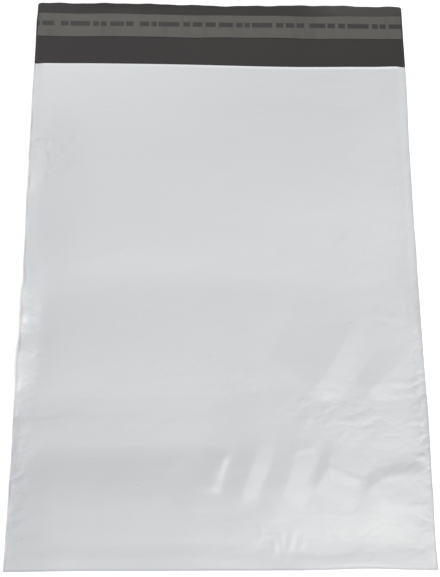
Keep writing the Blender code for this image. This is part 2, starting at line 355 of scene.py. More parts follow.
@dataclass(frozen=True)
class NodeKit:
    """A node tree being wired: a short way to add nodes and links."""

    tree: bpy.types.NodeTree

    def fill(self, node: bpy.types.Node, inputs: dict) -> None:
        """Feeds some of a node's inputs.

        Args:
            node: The node.
            inputs: For each input, by name or number, the socket to link it to or its plain value.
        """
        for key, value in inputs.items():
            if isinstance(value, bpy.types.NodeSocket):
                self.tree.links.new(value, node.inputs[key])
            else:
                node.inputs[key].default_value = value

    def add(self, kind: str, inputs: dict | None = None, **values: object) -> bpy.types.Node:
        """A new node.

        Args:
            kind: The node's type, without its ShaderNode prefix.
            inputs: What its inputs are fed with, as in fill.
            values: Its properties.

        Returns:
            The node.
        """
        node = self.tree.nodes.new("ShaderNode" + kind)
        for key, value in values.items():
            setattr(node, key, value)
        self.fill(node, inputs or {})
        return node

    def math(self, operation: str, *values: object) -> Socket:
        """The output of a Math node that is fed, in order, with sockets or numbers."""
        return self.add("Math", dict(enumerate(values)), operation=operation).outputs[0]

    def noise(self, vector: Socket, pattern: Noise) -> Socket:
        """The value of a noise pattern at a place."""
        inputs = dict(zip(("Scale", "Detail", "Roughness"), pattern.value))
        return self.add("TexNoise", {"Vector": vector, **inputs}).outputs["Fac"]

    def ramp(self, value: Socket, low: float, high: float) -> Socket:
        """A smooth step from 0 at low to 1 at high, of a socket's value."""
        inputs = {"Value": value, "From Min": low, "From Max": high}
        return self.add("MapRange", inputs, interpolation_type="SMOOTHSTEP").outputs["Result"]

    def stretched(self, vector: Socket, x: float = 1.0, y: float = 1.0, angle: float = 0.0) -> Socket:
        """Where to read a pattern so that it is stretched along X and Y, then turned by degrees."""
        inputs = {"Vector": vector, "Scale": (x, y, 1.0), "Rotation": (0.0, 0.0, math.radians(angle))}
        return self.add("Mapping", inputs, vector_type="TEXTURE").outputs["Vector"]

    def blend(self, share: Socket, first: Colour, second: Colour) -> Socket:
        """A colour between two.

        Args:
            share: How much of the second there is, from 0 to 1.
            first: The first colour.
            second: The second colour.

        Returns:
            The colour's socket.
        """
        node = self.add("Mix", {"Factor": share}, data_type="RGBA")
        for socket in (s for s in node.inputs if s.type == "RGBA"):
            socket.default_value = (*(first if socket.name == "A" else second), 1.0)
        return next(s for s in node.outputs if s.type == "RGBA")

    def bump(self, height: Socket, distance: float = 1.0) -> Socket:
        """The normal over a height that is in units of the distance."""
        inputs = {"Strength": 1.0, "Distance": distance, "Height": height}
        return self.add("Bump", inputs).outputs["Normal"]


class Effects:
    """The shader node groups that the finishes use, each built once."""

    MIDDLE = 0.5
    LINE_RAMP = (0.045, 0.0)
    PATCH_RAMP = (0.50, 0.66)
    SPECK_RAMP = (0.83, 0.90)
    SOFT_STRETCH = 2.2
    SOFT_SHARE = 0.35
    FACET_DETAIL = 0.6
    FACET_DISTORTION = 0.4
    DASH_SHIFT = 2.4
    DASH_END_RAMP = (-0.03, 0.04)
    DASH_SIDE_RAMP = (-0.0004, 0.0005)

    @staticmethod
    def _new(name: str, inputs: dict[str, float], *outputs: str) -> tuple:
        """An empty group with a Vector input.

        Args:
            name: The group's name.
            inputs: The name and usual value of each further number that it takes.
            outputs: The names of the numbers that it puts out.

        Returns:
            A NodeKit on its tree, what is given to it, and its output node.
        """
        tree = bpy.data.node_groups.new(name, "ShaderNodeTree")
        face = tree.interface
        face.new_socket("Vector", in_out="INPUT", socket_type="NodeSocketVector")
        for label, value in inputs.items():
            face.new_socket(label, in_out="INPUT", socket_type="NodeSocketFloat").default_value = value
        for label in outputs:
            face.new_socket(label, in_out="OUTPUT", socket_type="NodeSocketFloat")
        start = tree.nodes.new("NodeGroupInput")
        return NodeKit(tree), start.outputs, tree.nodes.new("NodeGroupOutput")

    @staticmethod
    @cache
    def crinkle() -> bpy.types.NodeTree:
        """Fine crinkles of thin film: short sharp lines, and a soft unevenness under them.

        Returns:
            A group whose Height is about 0 to 1 and whose Drift wanders slowly from 0 to 1.
        """
        usual = {"Lines": 0.5, "Grain": 0.2, "Specks": 0.10}
        kit, given, end = Effects._new("film crinkle", usual, "Height", "Drift")
        place = given["Vector"]
        wander = kit.math("SUBTRACT", kit.noise(place, Noise.WANDER), Effects.MIDDLE)
        lines = kit.ramp(kit.math("ABSOLUTE", wander), *Effects.LINE_RAMP)
        patches = kit.ramp(kit.noise(place, Noise.PATCHES), *Effects.PATCH_RAMP)
        soft = kit.noise(kit.stretched(place, x=Effects.SOFT_STRETCH), Noise.SOFT)
        parts = (
            (kit.math("MULTIPLY", lines, patches), given["Lines"]),
            (kit.noise(place, Noise.GRAIN), given["Grain"]),
            (soft, Effects.SOFT_SHARE),
            (kit.ramp(kit.noise(place, Noise.SPECKS), *Effects.SPECK_RAMP), given["Specks"]),
        )
        total = 0.0
        for pattern, share in parts:
            total = kit.math("MULTIPLY_ADD", pattern, share, total)
        kit.fill(end, {"Height": total, "Drift": kit.noise(place, Noise.DRIFT)})
        return kit.tree

    @staticmethod
    @cache
    def facets() -> bpy.types.NodeTree:
        """Small folds with sharp crests and flat flanks, as in crumpled film.

        Returns:
            A group whose Height is in metres, for flanks that slope by about as much as Tilt says.
        """
        kit, given, end = Effects._new("crumpled facets", {"Scale": 60.0, "Tilt": 0.1}, "Height")
        detail = {"Detail": Effects.FACET_DETAIL, "Distortion": Effects.FACET_DISTORTION}
        cloth = kit.add("TexNoise", {"Vector": given["Vector"], "Scale": given["Scale"], **detail})
        fold = kit.math("ABSOLUTE", kit.math("SUBTRACT", cloth.outputs["Fac"], Effects.MIDDLE))
        wave = kit.math("DIVIDE", given["Tilt"], given["Scale"])
        kit.fill(end, {"Height": kit.math("MULTIPLY", fold, wave)})
        return kit.tree

    @staticmethod
    @cache
    def dashes() -> bpy.types.NodeTree:
        """A row of plain dashes of mixed lengths along X.

        Returns:
            A group whose Mask is 1 on a dash.
        """
        usual = {"Row Y": 0.0, "Half Height": 0.002, "Pitch": 0.010, "Gap": 0.2}
        kit, given, end = Effects._new("row of dashes", usual, "Mask")
        split = kit.add("SeparateXYZ", {0: given["Vector"]}).outputs
        flat = kit.add("CombineXYZ", {"X": split["X"]}).outputs[0]
        along = kit.math("DIVIDE", split["X"], given["Pitch"])
        lengths = kit.noise(flat, Noise.DASH_LENGTHS)
        part = kit.math("PINGPONG", kit.math("MULTIPLY_ADD", lengths, Effects.DASH_SHIFT, along), 0.5)
        edge = kit.math("SUBTRACT", part, kit.math("MULTIPLY", given["Gap"], 0.5))
        off = kit.math("ABSOLUTE", kit.math("SUBTRACT", split["Y"], given["Row Y"]))
        inside = kit.math("SUBTRACT", given["Half Height"], off)
        across = kit.ramp(edge, *Effects.DASH_END_RAMP)
        kit.fill(end, {"Mask": kit.math("MULTIPLY", across, kit.ramp(inside, *Effects.DASH_SIDE_RAMP))})
        return kit.tree


@dataclass(frozen=True)
class Finish:
    """How a surface looks."""

    name: str

    def looks(self, kit: NodeKit, place: Socket) -> dict:
        """What the shader is fed with, by input."""
        raise NotImplementedError

    def material(self) -> bpy.types.Material:
        """The finish as a material."""
        made = bpy.data.materials.new(self.name)
        made.use_nodes = True
        kit = NodeKit(made.node_tree)
        place = kit.add("TexCoord").outputs["Object"]
        kit.fill(made.node_tree.nodes["Principled BSDF"], self.looks(kit, place))
        return made


@dataclass(frozen=True)
class FilmFinish(Finish):
    """Polyethylene film: smooth, softly shining, and finely crinkled, with painted shade and painted light
    from the bag's zones mixed into its colour.
    """

    colour: Colour
    drift_and_shading: Colour
    roughness: float
    crinkle: float
    grain: float
    tilt: float = 0.0
    specular: float = 0.5
    unevenness: float = 0.25
    roughness_range: float = 0.10

    def crumple(self, kit: NodeKit, place: Socket) -> Socket:
        """The crumpled facets, as strong as the film's own mask says.

        Args:
            kit: The material's NodeKit.
            place: The place that the pattern reads.

        Returns:
            Their height in metres.
        """
        total = 0.0
        for layer in CRUMPLES:
            turned = kit.stretched(place, x=layer.stretch, angle=layer.angle)
            inputs = {"Vector": turned, "Scale": layer.scale, "Tilt": self.tilt * layer.share}
            facets = kit.add("Group", inputs, node_tree=Effects.facets())
            total = kit.math("ADD", facets.outputs["Height"], total)
        mask = kit.add("Attribute", attribute_name="crumpled")
        return kit.math("MULTIPLY", total, mask.outputs["Fac"])

    def looks(self, kit: NodeKit, place: Socket) -> dict:
        """What the shader is fed with, by input."""
        inputs = {"Vector": place, "Lines": 0.0, "Grain": self.grain}
        wear = kit.add("Group", inputs, node_tree=Effects.crinkle()).outputs
        # The colour mixes towards the second colour by a slow random drift, and by the painted shade and
        # painted light of the bag's zones and edges.
        painted_shading = kit.add("Attribute", attribute_name="painted_shading").outputs["Fac"]
        share = kit.math("MULTIPLY_ADD", wear["Drift"], self.unevenness, painted_shading)
        least = self.roughness - self.roughness_range / 2
        height = kit.math("MULTIPLY", wear["Height"], self.crinkle)
        if self.tilt > 0:
            height = kit.math("ADD", height, self.crumple(kit, place))
        return {
            "Base Color": kit.blend(share, self.colour, self.drift_and_shading),
            "Roughness": kit.math("MULTIPLY_ADD", wear["Drift"], self.roughness_range, least),
            "Specular IOR Level": self.specular,
            "Normal": kit.bump(height),
        }


WHITE_FILM = FilmFinish(
    name="white film",
    colour=(0.711, 0.739, 0.758),
    # The second colour is darker and cooler: the random drift and the painted shade of the zones mix towards
    # it, and painted light away from it.
    drift_and_shading=(0.480, 0.500, 0.543),
    roughness=0.34,
    crinkle=0.0010,
    grain=0.012,
    tilt=0.10,
    unevenness=0.12,
)
GREY_FILM = FilmFinish(
    name="dark grey inner film",
    colour=(0.0202, 0.0158, 0.0174),
    # The second colour is lighter: the random drift and the painted reflection on the lip mix towards it,
    # and painted shade away from it.
    drift_and_shading=(0.060, 0.057, 0.056),
    roughness=0.48,
    crinkle=0.0003,
    grain=0.04,
    specular=0.34,
)


@dataclass(frozen=True)
class LinerFinish(Finish):
    """Grey release film with faint streaks and a row of plain dark dashes."""

    colour: Colour
    dash_colour: Colour
    roughness: float
    row_y: float
    half_height: float
    pitch: float
    gap: float = 0.22
    lines: float = 0.3
    grain: float = 0.2
    wear: float = 0.0002
    streak_stretch: float = 8.0
    streak_ramp: tuple[float, float] = (0.42, 0.75)
    streak_share: float = 0.25

    def looks(self, kit: NodeKit, place: Socket) -> dict:
        """What the shader is fed with, by input."""
        sizes = {"Row Y": self.row_y, "Half Height": self.half_height, "Pitch": self.pitch, "Gap": self.gap}
        row = kit.add("Group", {"Vector": place, **sizes}, node_tree=Effects.dashes())
        inputs = {"Vector": place, "Lines": self.lines, "Grain": self.grain}
        worn = kit.add("Group", inputs, node_tree=Effects.crinkle())
        streaky = kit.noise(kit.stretched(place, y=self.streak_stretch), Noise.STREAKS)
        streaks = kit.math("MULTIPLY", kit.ramp(streaky, *self.streak_ramp), self.streak_share)
        dark = kit.math("MAXIMUM", row.outputs["Mask"], streaks)
        return {
            "Base Color": kit.blend(dark, self.colour, self.dash_colour),
            "Roughness": self.roughness,
            "Normal": kit.bump(worn.outputs["Height"], self.wear),
        }


@dataclass(frozen=True)
class GlueFinish(Finish):
    """Soft hot-melt glue, slightly uneven."""

    colour: Colour = (0.42, 0.40, 0.34)
    roughness: float = 0.6

    def looks(self, kit: NodeKit, place: Socket) -> dict:
        """What the shader is fed with, by input."""
        rough = kit.math("MULTIPLY", kit.noise(place, Noise.GLUE), self.roughness)
        return {"Base Color": (*self.colour, 1.0), "Roughness": rough}


def add_object(name: str, data: bpy.types.ID) -> bpy.types.Object:
    """Puts an object for some data into the scene, at the origin."""
    made = bpy.data.objects.new(name, data)
    bpy.context.scene.collection.objects.link(made)
    return made


def add_mesh(name: str, bm: bmesh.types.BMesh) -> bpy.types.Object:
    """Puts a finished mesh into the scene as an object, and frees what it was made with."""
    mesh = bpy.data.meshes.new(name)
    bm.to_mesh(mesh)
    bm.free()
    return add_object(name, mesh)


def as_piece(name: str, bm: bmesh.types.BMesh, *finishes: Finish) -> bpy.types.Object:
    """A finished mesh as a piece that rides on the part.

    Args:
        name: The piece's name.
        bm: Its mesh, in the part's frame.
        finishes: What its faces' material indices stand for.

    Returns:
        The object.
    """
    bmesh.ops.recalc_face_normals(bm, faces=bm.faces[:])
    piece = add_mesh(name, bm)
    mesh = piece.data
    for finish in finishes:
        mesh.materials.append(finish.material())
    mesh.shade_smooth()
    mesh.set_sharp_from_angle(angle=SHARP_ANGLE)
    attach(piece, "root")
    LOG.info("%s: %d faces", name, len(mesh.polygons))
    return piece


def add_slab(bm: bmesh.types.BMesh, segments: Pair, low: Pair, high: Pair, thickness: float) -> None:
    """Adds a flat slab over a rectangle, with its underside at 0.

    Args:
        bm: The mesh that it goes into, empty so far.
        segments: How many faces it has along X and Y.
        low: The rectangle's low corner.
        high: Its high corner.
        thickness: The slab's thickness.
    """
    bmesh.ops.create_grid(bm, x_segments=segments[0], y_segments=segments[1], size=0.5)
    bmesh.ops.translate(bm, verts=bm.verts, vec=(0.5, 0.5, 0.0))
    bmesh.ops.scale(bm, verts=bm.verts, vec=(high[0] - low[0], high[1] - low[1], 1.0))
    bmesh.ops.translate(bm, verts=bm.verts, vec=(*low, 0.0))
    made = bmesh.ops.extrude_face_region(bm, geom=bm.faces[:], use_keep_orig=True)["geom"]
    lifted = [item for item in made if isinstance(item, bmesh.types.BMVert)]
    bmesh.ops.translate(bm, verts=lifted, vec=(0.0, 0.0, thickness))


def stretches(start: float, ends: list[Pair]) -> list[float]:
    """Even steps in stretches that follow one another.

    Args:
        start: Where the first one starts.
        ends: Where each one ends, and about how far apart its steps are.

    Returns:
        The places of the steps, up to but not at the last end.
    """
    places = []
    for end, pitch in ends:
        count = max(1, round((end - start) / pitch))
        places += [start + (end - start) * k / count for k in range(count)]
        start = end
    return places


@dataclass(frozen=True)
class Wave:
    """A sine wave: its height, how fast it turns in radians a metre, and where it starts."""

    height: float
    rate: float
    start: float = 0.0

    def at(self, place: Grid) -> Grid:
        """The wave's height at some places."""
        return self.height * np.sin(place * self.rate + self.start)


@dataclass(frozen=True)
class Bell:
    """A bell curve: its height, its middle and its half width."""

    height: float
    middle: float
    half_width: float

    def at(self, place: Grid) -> Grid:
        """The curve's height at some places."""
        return self.height * np.exp(-(((place - self.middle) / self.half_width) ** 2))


@dataclass(frozen=True)
class Outline:
    """How the film's edges depart from straight lines."""

    side_reach: float = 0.030
    left_bow: float = 0.00075
    left_low: float = 0.0007
    right_sway: float = 0.0005
    right_lag: float = 0.9
    right_low: float = 0.0003
    low_start: float = 0.40
    low_fade: float = 0.25
    wobble: tuple[Wave, ...] = (Wave(0.00005, 88.0), Wave(0.00006, 41.0, 1.0))
    ragged: Wave = Wave(0.0002, 138.0, 0.4)
    corner_radius: float = 0.0022
    corner_reach: float = 0.006
    lip_start: float = 0.020
    lip_fade: float = 0.026
    lip_dip: float = 0.0003
    lip_bow: float = 0.0005
    rim_reach: float = 0.005
    rim: tuple[Wave, ...] = (Wave(0.00022, 190.0, 1.1), Wave(0.00014, 413.0))
    mouth_reach: float = 0.05
    mouth_sag: Bell = Bell(0.00130, 0.175, 0.060)
    sag_reach: float = 0.020
    fold_reach: float = 0.015
    fold_tuck: Bell = Bell(0.0009, 0.213, 0.022)
    fold_spread: float = 0.0004
    corner_spread: float = 0.0005
    corner_length: float = 0.05


@dataclass(frozen=True)
class Puckers:
    """The small gathers along both side seals, in millimetres."""

    seed: int = 41
    start: float = 8.0
    end: float = 318.0
    reach: Pair = (4.0, 11.0)
    lean: Pair = (-3.0, 3.0)
    height: Pair = (-0.10, 0.16)
    half_length: Pair = (1.6, 3.2)
    step: Pair = (4.0, 11.0)

    def rise(self, x: Grid, y: Grid, width: float) -> Grid:
        """How much they lift the film.

        Args:
            x: Distances from the left edge, in millimetres.
            y: Distances from the bottom fold, in millimetres.
            width: The bag's width, in millimetres.

        Returns:
            Their rise, in millimetres.
        """
        rng = random.Random(self.seed)
        total = np.zeros(x.shape)
        for inward in (x, width - x):
            place = self.start
            while place < self.end:
                reach, lean, height, half = (
                    rng.uniform(*limits) for limits in (self.reach, self.lean, self.height, self.half_length)
                )
                along = (y - (place + lean * inward / reach)) / half
                total = total + height * np.exp(-(along**2)) * np.exp(-((inward / reach) ** 2))
                place += rng.uniform(*self.step)
        return total


# The painted shadow line along the side edges: where it lies across the edge, and the waves that break it
# up.
SEAL_EDGE_SHADE = Bell(1.0, 0.0004, 0.0006)
SEAL_BREAKS = (Wave(0.8, 210.0), Wave(1.0, 77.0))
LIP_RIPPLE = Wave(1.0, 95.0, 0.6)


@dataclass
class FilmBag:
    """The bag's one web of film: two panels, the bottom fold, the side seals and the lip."""

    width: float = 0.254
    pocket: float = 0.3286
    lip: float = 0.0474
    film: float = 0.0000635
    seal_width: float = 0.0025
    liner_from_edge: float = 0.0080
    fold_air: float = 0.0009
    mouth_air: float = 0.0006
    pillow_air: float = 0.0009
    least_air: float = 0.0003
    fold_reach: float = 0.022
    side_reach: float = 0.040
    mouth_reach: float = 0.040
    seal_reach: float = 0.004
    fold_share: float = 0.75
    fold_share_reach: float = 0.008
    bead: float = 0.00016
    bead_width: float = 0.00045
    back_wave: float = 0.0005
    back_wave_length: float = 0.070
    back_wave_reach: float = 0.035
    lift_power: float = 1.6
    lip_curl: float = 0.0012
    lip_curl_length: float = 0.127
    lip_ripple: float = 0.00018
    lip_ripple_fade: float = 0.012
    lip_ripple_rates: Pair = (60.0, 31.0)
    mouth_curl: float = 0.0006
    mouth_curl_reach: float = 0.0014
    front_turn: float = 3.0
    least_crumpled: float = 0.10
    # How much painted shading the film carries outside its zones.
    least_painted_shading: float = 0.16
    # The painted shadow along the side edges and at the bottom fold: its strength, its share at the right
    # edge and along the seals, and where it fades above the fold.
    edge_shade_strength: float = 0.65
    right_edge_shade: float = 0.35
    seal_edge_shade: float = 0.6
    fold_shade_start: float = 0.0004
    fold_shade_fade: float = 0.0012
    flat_angle: float = math.radians(0.2)
    flat_height: float = 1.1
    flat_from_seal: float = 0.03
    flat_from_mouth: float = 0.04
    nose_rows: int = 10
    edges: Outline = Outline()
    puckers: Puckers = Puckers()

    @property
    def half(self) -> float:
        """Half the bag's width."""
        return self.width / 2

    @property
    def seal_x(self) -> float:
        """The inner edge of each side seal."""
        return self.half - self.seal_width

    @property
    def top_y(self) -> float:
        """The lip's free edge."""
        return (self.pocket + self.lip) / 2

    @property
    def mouth_y(self) -> float:
        """The front panel's free edge."""
        return self.top_y - self.lip

    @property
    def nose(self) -> float:
        """The radius of the bottom fold."""
        return self.film + self.fold_air / 2

    @property
    def fold_y(self) -> float:
        """The middle of the bottom fold's turn."""
        return self.nose - self.top_y

    def inside(self, x: Grid) -> Grid:
        """How far places are inside the nearer side seal, and 0 on it."""
        return np.maximum(self.seal_x - np.abs(x), 0.0)

    def on_panel(self, x: Grid, y: Grid) -> tuple[Grid, Grid]:
        """Places as distances in millimetres from the left edge and from the bottom fold."""
        return (x + self.half) / MM, (y + self.top_y) / MM

    def columns(self) -> list[float]:
        """The columns of the web along X: close at the seals and over the creased right half."""
        left = [x - self.half for x in SEAL_COLUMNS]
        inner = stretches(-self.seal_x, [*LEFT_COLUMNS, (self.seal_x, RIGHT_PITCH)])
        return left + inner + [self.seal_x] + [-x for x in reversed(left)]

    def pocket_rows(self) -> list[float]:
        """The rows of a panel along Y, from the bottom fold to the mouth."""
        ends = [(above - self.top_y, pitch) for above, pitch in FOLD_ROWS]
        ends += [(self.mouth_y - below, pitch) for below, pitch in MOUTH_ROWS]
        return stretches(self.fold_y, ends) + [self.mouth_y]

    def rows(self) -> list[tuple[float, float]]:
        """The rows of the whole web.

        Returns:
            Each row's place along Y and its turn round the bottom fold, from the lip to the mouth.
        """
        edge = [self.top_y - y for y in EDGE_ROWS]
        lip = [-y for y in stretches(LIP_START - self.top_y, [(-self.mouth_y, LIP_PITCH)])]
        back = [(y, 0.0) for y in [*edge, *lip, *reversed(self.pocket_rows())]]
        turns = [math.pi * k / self.nose_rows for k in range(1, self.nose_rows)]
        front = [(y, math.pi) for y in self.pocket_rows()]
        return back + [(self.fold_y, turn) for turn in turns] + front

    def back_height(self, x: Grid, y: Grid) -> Grid:
        """Height of the back panel's outer face.

        Args:
            x: Places across the bag.
            y: Places along it.

        Returns:
            How far the film is off the table there.
        """
        near = 1.0 - smooth(self.inside(x) / self.back_wave_reach)
        along = smooth((self.mouth_y - y) / self.mouth_reach)
        turn = 2 * np.pi * (y + self.top_y) / self.back_wave_length + np.where(x > 0, np.pi / 3, 0.0)
        height = self.back_wave * near * along * (0.5 - 0.5 * np.cos(turn))
        for lift in EDGE_LIFTS:
            inward = (self.half - lift.side * x) / MM / lift.reach
            off = ((y + self.top_y) / MM - lift.y) / lift.half_length
            curve = (1.0 - np.clip(inward, 0.0, 1.0)) ** self.lift_power
            height = height + lift.height * MM * curve * np.exp(-(off**4))
        out = np.maximum(y - (self.top_y - self.liner_from_edge), 0.0) / self.liner_from_edge
        curl = self.lip_curl * out**2 * (0.5 - 0.5 * np.cos(2 * np.pi * x / self.lip_curl_length))
        along_rate, slant_rate = self.lip_ripple_rates
        ripple = 1.0 + LIP_RIPPLE.at(x) * np.sin(y * along_rate + x * slant_rate)
        past = smooth((y - self.mouth_y) / self.lip_ripple_fade)
        return height + curl + self.lip_ripple * past * ripple

    def air(self, x: Grid, y: Grid) -> Grid:
        """The gap between the two panels.

        Args:
            x: Places across the bag.
            y: Places along it.

        Returns:
            The gap there: none at the side seals, most over the ridges.
        """
        inside = self.inside(x)
        to_mouth = smooth((self.mouth_y - y) / self.mouth_reach)
        from_fold = smooth((y - self.fold_y) / self.fold_reach)
        level = self.fold_air + (self.pillow_air - self.fold_air) * from_fold
        level = self.mouth_air + (level - self.mouth_air) * to_mouth
        level = level * smooth(inside / self.side_reach)
        left_x, from_bottom = self.on_panel(x, y)
        held = np.sqrt(smooth(inside / self.seal_reach))
        folds = self.puckers.rise(left_x, from_bottom, self.width / MM) * held
        for ridge in RIDGES:
            ridge.add_to(folds, left_x, from_bottom, inside / MM)
        past_fold = smooth((y - self.fold_y) / self.fold_share_reach)
        at_fold = self.fold_share + (1.0 - self.fold_share) * past_fold
        return np.maximum(level + folds * MM * at_fold * to_mouth, self.least_air * held)

    def masks(self) -> dict[str, Grid]:
        """How crumpled the web is, and how much painted shade and painted light it carries, by row and
        column.
        """
        x, y = np.meshgrid(self.columns(), [row[0] for row in self.rows()])
        # Painted shade and painted light: the zones' and the edges' darkening and lightening of the film's
        # colour.
        painted_shading = self.strength(PAINTED_SHADING_ZONES, self.least_painted_shading, x, y) + self.painted_edge_shade(x, y)
        return {"crumpled": self.strength(CRUMPLED, self.least_crumpled, x, y), "painted_shading": painted_shading}

    def strength(self, zones: tuple[Zone, ...], least: float, x: Grid, y: Grid) -> Grid:
        """How strong some zones are at each place.

        Args:
            zones: The zones.
            least: The strength outside them.
            x: Places across the bag.
            y: Places along it.

        Returns:
            The least, with each zone's strength added over it.
        """
        total = np.full(x.shape, least)
        left_x, from_bottom = self.on_panel(x, y)
        for zone in zones:
            across = (left_x - zone.x) / zone.half_width
            along = (from_bottom - zone.y) / zone.half_height
            total += zone.strength * np.exp(-(across**2) - along**2)
        return total

    def painted_edge_shade(self, x: Grid, y: Grid) -> Grid:
        """How much painted shadow darkens the film along the welded sides and at the bottom fold.

        Args:
            x: Places across the bag.
            y: Places along it.

        Returns:
            Numbers from 0, away from the edges, to about 1.
        """
        side = SEAL_EDGE_SHADE.at(self.half - np.abs(x)) * (y < self.mouth_y)
        side = side * np.where(x < 0, 1.0, self.right_edge_shade)
        side = side * (self.seal_edge_shade + SEAL_BREAKS[0].at(y) * SEAL_BREAKS[1].at(y))
        fold = 1.0 - smooth((y + self.top_y - self.fold_shade_start) / self.fold_shade_fade)
        return self.edge_shade_strength * np.maximum(side, fold)

    def outline(self, x: Grid, y: Grid, turn: Grid) -> tuple[Grid, Grid]:
        """Where the film lies once its edges depart from straight lines.

        Args:
            x: Places across the bag.
            y: Places along it.
            turn: Each place's turn round the bottom fold.

        Returns:
            The moved places across and along the bag.
        """
        return x + self.shift_x(x, y), y + self.shift_y(x, y, turn)

    def shift_x(self, x: Grid, y: Grid) -> Grid:
        """How far the side edges, and what is near them, move across the bag.

        Args:
            x: Places across the bag.
            y: Places along it.

        Returns:
            The moves towards +X.
        """
        form = self.edges
        share = (y + self.top_y) / (2 * self.top_y)
        left = 1.0 - smooth((x + self.half) / form.side_reach)
        right = 1.0 - smooth((self.half - x) / form.side_reach)
        bow = np.sin(np.pi * np.clip(share, 0.0, 1.0))
        low = 1.0 - smooth((share - form.low_start) / form.low_fade)
        wobble = sum(wave.at(y) for wave in form.wobble)
        sway = form.right_sway * np.sin(2 * np.pi * share - form.right_lag) * bow
        shift = left * (form.left_bow * bow + form.left_low * low + wobble + form.ragged.at(y) * low)
        shift = shift - right * (sway + wobble - form.right_low * low)
        for draw in EDGE_DRAWS:
            off = ((y + self.top_y) / MM - draw.y) / draw.half_length
            near = left if draw.side < 0 else right
            shift = shift - draw.side * near * draw.inward * MM * np.exp(-(off**4))
        radius = form.corner_radius
        past = np.clip((y - (self.top_y - radius)) / radius, 0.0, 1.0)
        corner = smooth((np.abs(x) - (self.half - form.corner_reach)) / form.corner_reach)
        return shift - np.sign(x) * radius * (1.0 - np.sqrt(1.0 - past**2)) * corner

    def shift_y(self, x: Grid, y: Grid, turn: Grid) -> Grid:
        """How far the lip, the mouth and the bottom fold move along the bag.

        Args:
            x: Places across the bag.
            y: Places along it.
            turn: Each place's turn round the bottom fold.

        Returns:
            The moves towards +Y.
        """
        form = self.edges
        from_left = x + self.half
        share = np.clip(from_left / self.width, 0.0, 1.0)
        top = smooth((y - (self.mouth_y + form.lip_start)) / form.lip_fade)
        shift = -top * (form.lip_dip + form.lip_bow * np.sin(np.pi * share) * (1.0 + share))
        rim = smooth((y - (self.top_y - form.rim_reach)) / form.rim_reach)
        shift = shift - rim * sum(wave.at(x) for wave in form.rim)
        mouth = smooth((y - (self.mouth_y - form.mouth_reach)) / form.mouth_reach) * (turn > self.front_turn)
        shift = shift - form.mouth_sag.at(from_left) * mouth * smooth(self.inside(x) / form.sag_reach)
        spread = form.fold_spread + form.corner_spread * (1.0 - smooth(from_left / form.corner_length))
        fold = 1.0 - smooth((y + self.top_y) / form.fold_reach)
        return shift + (form.fold_tuck.at(from_left) - spread) * fold

    def folded(self) -> tuple[Grid, Grid]:
        """Where the web's points come to lie.

        Returns:
            The points of the outer face and of the inner one, by row and column.
        """
        rows = self.rows()
        x, y = np.meshgrid(self.columns(), [row[0] for row in rows])
        turn = np.repeat([[row[1]] for row in rows], x.shape[1], axis=1)
        gap = self.air(x, y)
        thick = self.film + Bell(self.bead / 2, 0.0, self.bead_width).at(self.half - np.abs(x))
        reach = self.mouth_curl_reach
        curl = self.mouth_curl * smooth((y - (self.mouth_y - reach)) / reach) * (turn > self.front_turn)
        curl = curl * smooth(self.inside(x) / self.seal_reach)
        middle = self.back_height(x, y) + thick + gap / 2
        flat_x, flat_y = self.outline(x, y, turn)
        faces = []
        for depth in (0.0, 1.0):
            half = gap / 2 + thick * (1.0 - depth)
            place_y = flat_y - (self.nose - self.film * depth) * np.sin(turn)
            faces.append(np.stack([flat_x, place_y, middle - half * np.cos(turn) + curl], axis=-1))
        return faces[0], faces[1]

    def mesh(self) -> bmesh.types.BMesh:
        """The film as one closed mesh: a flat slab, folded and sealed at its sides."""
        columns, rows = self.columns(), self.rows()
        size = (len(columns) - 1, len(rows) - 1)
        bm = bmesh.new()
        masks = {bm.verts.layers.float.new(name): values for name, values in self.masks().items()}
        add_slab(bm, size, (0.0, 0.0), size, 1.0)
        first = columns.index(-self.seal_x)
        joined = self.open_seals(bm, first, size[0] - first, rows.index((self.mouth_y, 0.0)))
        outer, inner = self.folded()
        for vert in bm.verts:
            place = (round(vert.co.y), round(vert.co.x))
            for layer, values in masks.items():
                vert[layer] = values[place]
            vert.co = (inner if vert.co.z > 0.5 else outer)[place]
        bmesh.ops.remove_doubles(bm, verts=joined, dist=SAME_PLACE)
        return bm

    @staticmethod
    def open_seals(bm: bmesh.types.BMesh, first: int, last: int, mouth_row: int) -> list:
        """Takes away the inner faces along both side seals, so that the panels can join there.

        Args:
            bm: The flat slab.
            first: The left seal's inner column.
            last: The right seal's inner column.
            mouth_row: The row of the back panel at the mouth.

        Returns:
            The vertices that are to join.
        """
        sealed = []
        for face in bm.faces:
            inside = all(vert.co.z > 0.5 for vert in face.verts)
            face.material_index = 1 if inside else 0
            middle = face.calc_center_median()
            if inside and middle.y > mouth_row and (middle.x < first or middle.x > last):
                sealed.append(face)
        joined = dict.fromkeys(vert for face in sealed for vert in face.verts)
        bmesh.ops.delete(bm, geom=sealed, context="FACES_ONLY")
        return [vert for vert in joined if vert.is_valid]

    def flatten_back(self, bm: bmesh.types.BMesh) -> None:
        """Joins the faces of the back panel where it is flat, which the seals' close rows made small."""
        highest = self.film * self.flat_height
        side, end = self.seal_x - self.flat_from_seal, self.mouth_y - self.flat_from_mouth
        flat = [v for v in bm.verts if v.co.z < highest and abs(v.co.x) < side and v.co.y < end]
        edges = list(dict.fromkeys(edge for vert in flat for edge in vert.link_edges))
        bmesh.ops.dissolve_limit(bm, angle_limit=self.flat_angle, verts=flat, edges=edges)

    def build(self) -> None:
        """Builds and dresses the film bag."""
        bm = self.mesh()
        self.flatten_back(bm)
        piece = as_piece("film", bm, WHITE_FILM, GREY_FILM)
        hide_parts("film_bag")


